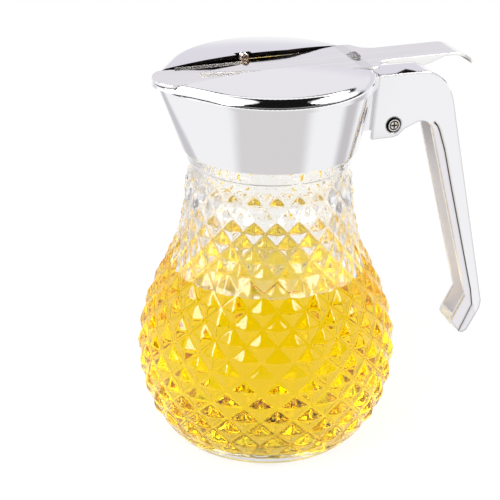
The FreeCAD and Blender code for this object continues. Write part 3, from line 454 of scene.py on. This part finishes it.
honey_angle = np.arange(HONEY_SIDES) * 2 * np.pi / HONEY_SIDES


def spun(name, profile):
    """A profile of (z, r) in millimetres, carried once round the axis."""
    points = np.stack([profile[:, 1:] * np.cos(honey_angle), profile[:, 1:] * np.sin(honey_angle),
                       np.repeat(profile[:, :1], HONEY_SIDES, 1)], -1)
    return surface(name, points * MM, wrap=True, flip=True)


honey = spun("honey", np.vstack([honey_bowl, honey_side, skin_top - (0.12, 0.0)]))
honey_stuff, tree, out = new_material("acacia_honey_body")
# clear runny honey: only yellow light is left after a few centimetres of it
syrup = add(tree, "ShaderNodeBsdfPrincipled", None,
            {"Base Color": (1, 1, 1, 1), "Roughness": 0.0, "IOR": 1.0, "Transmission Weight": 1.0})
depth = add(tree, "ShaderNodeVolumeAbsorption", None,
            {"Color": (0.988, 0.922, 0.0, 1.0), "Density": 80.0})
tree.links.new(syrup.outputs[0], out.inputs["Surface"])
tree.links.new(depth.outputs[0], out.inputs["Volume"])
coat(honey, honey_stuff)
close_poles(honey)
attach(honey, "jar")

honey_skin = spun("honey_skin", np.vstack([skin_low[::-1], skin_top]))
skin_stuff, tree, out = new_material("honey_surface")
# the still, wet surface of the honey
glossy_skin = add(tree, "ShaderNodeBsdfPrincipled", None,
                  {"Base Color": (1, 1, 1, 1), "Roughness": 0.0, "IOR": 1.49,
                   "Transmission Weight": 1.0})
tree.links.new(glossy_skin.outputs[0], out.inputs["Surface"])
coat(honey_skin, skin_stuff)
honey_skin.data.materials.append(wet_glass)
under = np.zeros(2 * len(skin_top) - 1, int)
under[:len(skin_top)] = 1
honey_skin.data.polygons.foreach_set("material_index", np.repeat(under, HONEY_SIDES))
close_poles(honey_skin)
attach(honey_skin, "jar")

# Casting and cover. A zinc casting and a pressed steel dome under bright chrome plate, a mirror
# with a very slight waviness left by the polishing wheel. Faces that look towards the axis, or
# down, get painted shade, a near-black colour, and a rougher finish.
chrome_shaded_inside, tree, out = new_material("chrome_plate_with_painted_dark_inside")
spot = add(tree, "ShaderNodeTexCoord")
wave = add(tree, "ShaderNodeTexNoise", None,
           {"Vector": spot.outputs["Object"], "Scale": 40.0, "Detail": 1.0})
polish = add(tree, "ShaderNodeBump", None,
             {"Height": wave.outputs[0], "Strength": 0.05, "Distance": 0.001})
flat_spot = add(tree, "ShaderNodeVectorMath", {"operation": "MULTIPLY"},
                {0: spot.outputs["Object"], 1: (1.0, 1.0, 0.0)}).outputs[0]
outward = add(tree, "ShaderNodeVectorMath", {"operation": "DOT_PRODUCT"},
              {0: spot.outputs["Normal"], 1: flat_spot}).outputs["Value"]
downward = add(tree, "ShaderNodeVectorMath", {"operation": "DOT_PRODUCT"},
               {0: spot.outputs["Normal"], 1: (0, 0, -1)}).outputs["Value"]
faces_in = add(tree, "ShaderNodeMapRange", {"clamp": True},
               {0: outward, 1: -0.006, 2: -0.002, 3: 1.0, 4: 0.0})
faces_down = add(tree, "ShaderNodeMapRange", {"clamp": True},
                 {0: downward, 1: 0.6, 2: 0.8, 3: 0.0, 4: 1.0})
# painted shade: faces that look towards the axis or down are coloured near black and made rougher
inside_shade_and_dull = add(tree, "ShaderNodeMath", {"operation": "MAXIMUM"},
             {0: faces_in.outputs[0], 1: faces_down.outputs[0]}).outputs[0]
tint = add(tree, "ShaderNodeMix", {"data_type": "RGBA"},
           {"Factor": inside_shade_and_dull, 6: srgb("#F1F1F3"), 7: srgb("#23201F")})
dull = add(tree, "ShaderNodeMapRange", {"clamp": True},
           {0: inside_shade_and_dull, 1: 0.0, 2: 1.0, 3: 0.05, 4: 0.40})
plate = add(tree, "ShaderNodeBsdfPrincipled", None,
            {"Base Color": tint.outputs[2], "Metallic": 1.0, "Roughness": dull.outputs[0],
             "Normal": polish.outputs[0]})
tree.links.new(plate.outputs[0], out.inputs["Surface"])
for name in ("head_shell", "top_cover"):
    coat(nodes[name], chrome_shaded_inside)

# Blade and thumb lever. Bright steel sheet, pressed, tumbled and plated: lengthwise brushing under
# the plate, satin cut edges and rounded bends. The underside and faces turned in get painted shade,
# and the stop gets a painted darker reflection in mid-grey, with a rougher finish.
sheet_steel, tree, out = new_material("brushed_and_plated_sheet_steel")
spot = add(tree, "ShaderNodeTexCoord")
place = add(tree, "ShaderNodeSeparateXYZ", None, {0: spot.outputs["Object"]})
facing = add(tree, "ShaderNodeSeparateXYZ", None, {0: spot.outputs["Normal"]})
grain_way = add(tree, "ShaderNodeMapping", None,
                {"Vector": spot.outputs["Object"], "Scale": (14.0, 900.0, 900.0)})
grain = add(tree, "ShaderNodeTexNoise", None,
            {"Vector": grain_way.outputs[0], "Scale": 1.0, "Detail": 2.0})
bend = add(tree, "ShaderNodeBevel", {"samples": 4}, {"Radius": 0.0005})
brushed = add(tree, "ShaderNodeBump", None,
              {"Height": grain.outputs[0], "Strength": 0.10, "Distance": 0.0002,
               "Normal": bend.outputs[0]})
upright_face = add(tree, "ShaderNodeMath", {"operation": "ABSOLUTE"},
                   {0: facing.outputs["Z"]}).outputs[0]
cut_edge = add(tree, "ShaderNodeMapRange", None,
               {0: upright_face, 1: 0.25, 2: 0.45, 3: 1.0, 4: 0.0}).outputs[0]
in_front = add(tree, "ShaderNodeMapRange", None,
               {0: place.outputs["X"], 1: 0.030, 2: 0.0302, 3: 1.0, 4: 0.0}).outputs[0]
cut_edge = add(tree, "ShaderNodeMath", {"operation": "MULTIPLY"},
               {0: cut_edge, 1: in_front}).outputs[0]
# painted shade: the underside and the faces turned towards the middle are coloured dark
under_side = add(tree, "ShaderNodeMapRange", None,
                 {0: facing.outputs["Z"], 1: -0.7, 2: -0.5, 3: 1.0, 4: 0.0}).outputs[0]
turned_in = add(tree, "ShaderNodeMath", {"operation": "MULTIPLY"},
                {0: place.outputs["Y"], 1: facing.outputs["Y"]}).outputs[0]
turned_in = add(tree, "ShaderNodeMapRange", None,
                {0: turned_in, 1: -0.004, 2: -0.002, 3: 1.0, 4: 0.0}).outputs[0]
painted_under_shade = add(tree, "ShaderNodeMath", {"operation": "MAXIMUM"},
                 {0: under_side, 1: turned_in}).outputs[0]
# painted reflection: the stop is coloured mid-grey for the darker surroundings it would mirror
stop_painted_grey = between(tree,
                  [(place.outputs["X"], 0.0267, 0.0305, 0.0001),
                   (place.outputs["Z"], 0.1302, 0.14, 0.0001)])
at_tip = add(tree, "ShaderNodeMapRange", None,
             {0: place.outputs["X"], 1: 0.064, 2: 0.072, 3: 0.0, 4: 1.0}).outputs[0]
streak = add(tree, "ShaderNodeMapRange", None,
             {0: grain.outputs[0], 1: 0.3, 2: 0.7, 3: 0.0, 4: 1.0}).outputs[0]
tint = add(tree, "ShaderNodeMix", {"data_type": "RGBA"},
           {"Factor": streak, 6: srgb("#F1F1EF"), 7: srgb("#F8F8F7")}).outputs[2]
for mask, colour in ((at_tip, "#F2E9E5"), (cut_edge, "#E9E7E6"), (stop_painted_grey, "#8A888C"),
                     (painted_under_shade, "#3A3735")):
    tint = add(tree, "ShaderNodeMix", {"data_type": "RGBA"},
               {"Factor": mask, 6: tint, 7: srgb(colour)}).outputs[2]
satin_or_painted_dark = add(tree, "ShaderNodeMath", {"operation": "MAXIMUM"}, {0: cut_edge, 1: stop_painted_grey}).outputs[0]
satin_or_painted_dark = add(tree, "ShaderNodeMath", {"operation": "MAXIMUM"}, {0: satin_or_painted_dark, 1: painted_under_shade}).outputs[0]
dull = add(tree, "ShaderNodeMapRange", None, {0: satin_or_painted_dark, 1: 0.0, 2: 1.0, 3: 0.09, 4: 0.42})
bare = add(tree, "ShaderNodeMapRange", None, {0: cut_edge, 1: 0.0, 2: 1.0, 3: 1.0, 4: 0.2})
plate = add(tree, "ShaderNodeBsdfPrincipled", None,
            {"Base Color": tint, "Metallic": bare.outputs[0], "Roughness": dull.outputs[0],
             "Normal": brushed.outputs[0]})
tree.links.new(plate.outputs[0], out.inputs["Surface"])
for name in ("pour_blade", "thumb_lever"):
    coat(nodes[name], sheet_steel)

# Handle. Zinc casting under chrome plate, polished outside with its edges rounded by the wheel.
# The inside of the channel is as cast, and the faces of the sunk line are coloured dark.
handle_plate, tree, out = new_material("chrome_plate_on_cast_handle")
spot = add(tree, "ShaderNodeTexCoord")
place = add(tree, "ShaderNodeSeparateXYZ", None, {0: spot.outputs["Object"]})
facing = add(tree, "ShaderNodeSeparateXYZ", None, {0: spot.outputs["Normal"]})
wave = add(tree, "ShaderNodeTexNoise", None,
           {"Vector": spot.outputs["Object"], "Scale": 40.0, "Detail": 1.0})
edge = add(tree, "ShaderNodeBevel", {"samples": 6}, {"Radius": 0.0011})
polish = add(tree, "ShaderNodeBump", None,
             {"Height": wave.outputs[0], "Strength": 0.05, "Distance": 0.001,
              "Normal": edge.outputs[0]})
off_middle = add(tree, "ShaderNodeMath", {"operation": "ABSOLUTE"},
                 {0: place.outputs["Y"]}).outputs[0]
side_face = add(tree, "ShaderNodeMath", {"operation": "ABSOLUTE"},
                {0: facing.outputs["Y"]}).outputs[0]
side_face = add(tree, "ShaderNodeMapRange", None,
                {0: side_face, 1: 0.5, 2: 0.6, 3: 0.0, 4: 1.0}).outputs[0]
sunk = between(tree, [(off_middle, 0.0041, 0.00495, 0.00002)], side_face)
turned_in = add(tree, "ShaderNodeMath", {"operation": "MULTIPLY"},
                {0: place.outputs["Y"], 1: facing.outputs["Y"]}).outputs[0]
turned_in = add(tree, "ShaderNodeMapRange", None,
                {0: turned_in, 1: -0.002, 2: -0.001, 3: 1.0, 4: 0.0}).outputs[0]
to_jar = add(tree, "ShaderNodeMapRange", None,
             {0: facing.outputs["X"], 1: -0.3, 2: -0.1, 3: 1.0, 4: 0.0}).outputs[0]
in_channel = between(tree, [(off_middle, -1.0, 0.00365, 0.00002)], to_jar)
as_cast = add(tree, "ShaderNodeMath", {"operation": "MAXIMUM"},
              {0: turned_in, 1: in_channel}).outputs[0]
# painted shade: the strip in front of the sunk line, on the side faces, is coloured a touch darker
# for a face that in the real handle is angled a little away
raked = add(tree, "ShaderNodeMath", {"operation": "MULTIPLY_ADD"},
            {0: place.outputs["Z"], 1: 0.26, 2: place.outputs["X"]}).outputs[0]
painted_darker_strip = between(tree, [(raked, -1.0, 0.08587, 0.0002), (place.outputs["Z"], 0.0, 0.104, 0.003)])
tint = srgb("#F1F1F3")
for mask, colour in ((painted_darker_strip, "#E8E6EA"), (as_cast, "#F6F4F7"), (sunk, "#5F5852")):
    tint = add(tree, "ShaderNodeMix", {"data_type": "RGBA"},
               {"Factor": mask, 6: tint, 7: srgb(colour)}).outputs[2]
rough_parts = add(tree, "ShaderNodeMath", {"operation": "MAXIMUM"},
                  {0: as_cast, 1: sunk}).outputs[0]
dull = add(tree, "ShaderNodeMapRange", None, {0: rough_parts, 1: 0.0, 2: 1.0, 3: 0.05, 4: 0.40})
bare = add(tree, "ShaderNodeMapRange", None, {0: as_cast, 1: 0.0, 2: 1.0, 3: 1.0, 4: 0.05})
plate = add(tree, "ShaderNodeBsdfPrincipled", None,
            {"Base Color": tint, "Metallic": bare.outputs[0], "Roughness": dull.outputs[0],
             "Normal": polish.outputs[0]})
tree.links.new(plate.outputs[0], out.inputs["Surface"])
coat(nodes["handle"], handle_plate)

# Handle screw. A nickel-plated steel screw with a pan head and a cross recess, turned in shallow
# rings. It holds the handle on the casting's lug, with its nut on the far side.
screw_plate, tree, out = new_material("nickel_plated_screw")
spot = add(tree, "ShaderNodeTexCoord")
centred = add(tree, "ShaderNodeMapping", None,
              {"Vector": spot.outputs["Object"], "Location": (-0.042, 0.0, -0.1066)})
centred = add(tree, "ShaderNodeVectorMath", {"operation": "MULTIPLY"},
              {0: centred.outputs[0], 1: (1, 0, 1)}).outputs[0]
reach = add(tree, "ShaderNodeVectorMath", {"operation": "LENGTH"}, {0: centred}).outputs["Value"]
place = add(tree, "ShaderNodeSeparateXYZ", None, {0: centred})
wide = add(tree, "ShaderNodeMath", {"operation": "ABSOLUTE"}, {0: place.outputs["X"]}).outputs[0]
tall = add(tree, "ShaderNodeMath", {"operation": "ABSOLUTE"}, {0: place.outputs["Z"]}).outputs[0]
nearer = add(tree, "ShaderNodeMath", {"operation": "MINIMUM"}, {0: wide, 1: tall}).outputs[0]
# painted shade: the cross recess, the ring dip and the rim are coloured near black and sunk by a
# bump
cross = between(tree, [(nearer, -1.0, 0.00026, 0.00006), (reach, -1.0, 0.0011, 0.0001)])
dip = between(tree, [(reach, 0.00125, 0.00165, 0.0001)])
rim = between(tree, [(reach, 0.00205, 0.0023, 0.00006)])
painted_recess_shade = add(tree, "ShaderNodeMath", {"operation": "MAXIMUM"}, {0: cross, 1: dip}).outputs[0]
painted_recess_shade = add(tree, "ShaderNodeMath", {"operation": "MAXIMUM"},
                 {0: painted_recess_shade, 1: rim}).outputs[0]
sunk_head = add(tree, "ShaderNodeMath", {"operation": "SUBTRACT"},
                {0: 1.0, 1: painted_recess_shade}).outputs[0]
relief = add(tree, "ShaderNodeBump", None,
             {"Height": sunk_head, "Strength": 0.8, "Distance": 0.0004})
tint = add(tree, "ShaderNodeMix", {"data_type": "RGBA"},
           {"Factor": painted_recess_shade, 6: srgb("#E2DFDC"), 7: srgb("#35312F")})
plate = add(tree, "ShaderNodeBsdfPrincipled", None,
            {"Base Color": tint.outputs[2], "Metallic": 1.0, "Roughness": 0.18,
             "Normal": relief.outputs[0]})
tree.links.new(plate.outputs[0], out.inputs["Surface"])
coat(nodes["handle_screw"], screw_plate)

# Pivot pin, its clips, the spring's post, the rivets and the handle's nut and washer. Plain steel,
# turned or stamped, with the faint mottling of barrel-polished small parts.
steel, tree, out = new_material("barrel_polished_steel")
spot = add(tree, "ShaderNodeTexCoord")
mottle = add(tree, "ShaderNodeTexNoise", None,
             {"Vector": spot.outputs["Object"], "Scale": 900.0, "Detail": 3.0})
dull = add(tree, "ShaderNodeMapRange", None,
           {0: mottle.outputs[0], 1: 0.3, 2: 0.7, 3: 0.14, 4: 0.30})
tint = add(tree, "ShaderNodeMix", {"data_type": "RGBA"},
           {"Factor": mottle.outputs[0], 6: srgb("#ADABA8"), 7: srgb("#D6D4D1")})
edge = add(tree, "ShaderNodeBevel", {"samples": 4}, {"Radius": 0.0002})
plate = add(tree, "ShaderNodeBsdfPrincipled", None,
            {"Base Color": tint.outputs[2], "Metallic": 1.0, "Roughness": dull.outputs[0],
             "Normal": edge.outputs[0]})
tree.links.new(plate.outputs[0], out.inputs["Surface"])
for name in ("lever_rivets", "pivot_pin", "pin_clips", "spring_post", "handle_washer",
             "handle_nut"):
    coat(nodes[name], steel)

# Return spring. Hard-drawn spring wire, bright, with fine marks from the die: a straight front
# arm, a coil wound round the post and a straight rear arm.
wire, tree, out = new_material("drawn_spring_wire")
spot = add(tree, "ShaderNodeTexCoord")
die_marks = add(tree, "ShaderNodeTexNoise", None,
                {"Vector": spot.outputs["Object"], "Scale": 1500.0, "Detail": 2.0})
skin = add(tree, "ShaderNodeBump", None,
           {"Height": die_marks.outputs[0], "Strength": 0.10, "Distance": 0.0001})
plate = add(tree, "ShaderNodeBsdfPrincipled", None,
            {"Base Color": srgb("#E6E4E2"), "Metallic": 1.0, "Roughness": 0.22,
             "Normal": skin.outputs[0]})
tree.links.new(plate.outputs[0], out.inputs["Surface"])
coat(nodes["return_spring"], wire)

# Post washer. A ring stamped from a copper alloy and browned by handling, which sits on the
# spring's post.
copper, tree, out = new_material("browned_copper_alloy")
spot = add(tree, "ShaderNodeTexCoord")
patina = add(tree, "ShaderNodeTexNoise", None,
             {"Vector": spot.outputs["Object"], "Scale": 1200.0, "Detail": 3.0})
tint = add(tree, "ShaderNodeMix", {"data_type": "RGBA"},
           {"Factor": patina.outputs[0], 6: srgb("#8E6A52"), 7: srgb("#C9A084")})
plate = add(tree, "ShaderNodeBsdfPrincipled", None,
            {"Base Color": tint.outputs[2], "Metallic": 1.0, "Roughness": 0.28})
tree.links.new(plate.outputs[0], out.inputs["Surface"])
coat(nodes["post_washer"], copper)

# Neck collar. Turned aluminium, with the fine rings of the lathe tool and no plating. It is
# pressed into the head's skirt and carries the thread.
turned_metal, tree, out = new_material("turned_aluminium")
spot = add(tree, "ShaderNodeTexCoord")
rings = add(tree, "ShaderNodeTexWave", {"bands_direction": "Z"},
            {"Vector": spot.outputs["Object"], "Scale": 600.0})
tooling = add(tree, "ShaderNodeBump", None,
              {"Height": rings.outputs[0], "Strength": 0.15, "Distance": 0.0001})
plate = add(tree, "ShaderNodeBsdfPrincipled", None,
            {"Base Color": srgb("#C4C4C6"), "Metallic": 1.0, "Roughness": 0.34,
             "Normal": tooling.outputs[0]})
tree.links.new(plate.outputs[0], out.inputs["Surface"])
coat(nodes["neck_collar"], turned_metal)

# Gasket. Pale moulded silicone, matt and very slightly cloudy. It lies on the jar's mouth, under
# the head.
rubber, tree, out = new_material("silicone_gasket")
spot = add(tree, "ShaderNodeTexCoord")
cloud = add(tree, "ShaderNodeTexNoise", None,
            {"Vector": spot.outputs["Object"], "Scale": 300.0, "Detail": 2.0})
tint = add(tree, "ShaderNodeMix", {"data_type": "RGBA"},
           {"Factor": cloud.outputs[0], 6: srgb("#CFCDC8"), 7: srgb("#DEDCD8")})
plate = add(tree, "ShaderNodeBsdfPrincipled", None,
            {"Base Color": tint.outputs[2], "Roughness": 0.5})
tree.links.new(plate.outputs[0], out.inputs["Surface"])
coat(nodes["jar_gasket"], rubber)
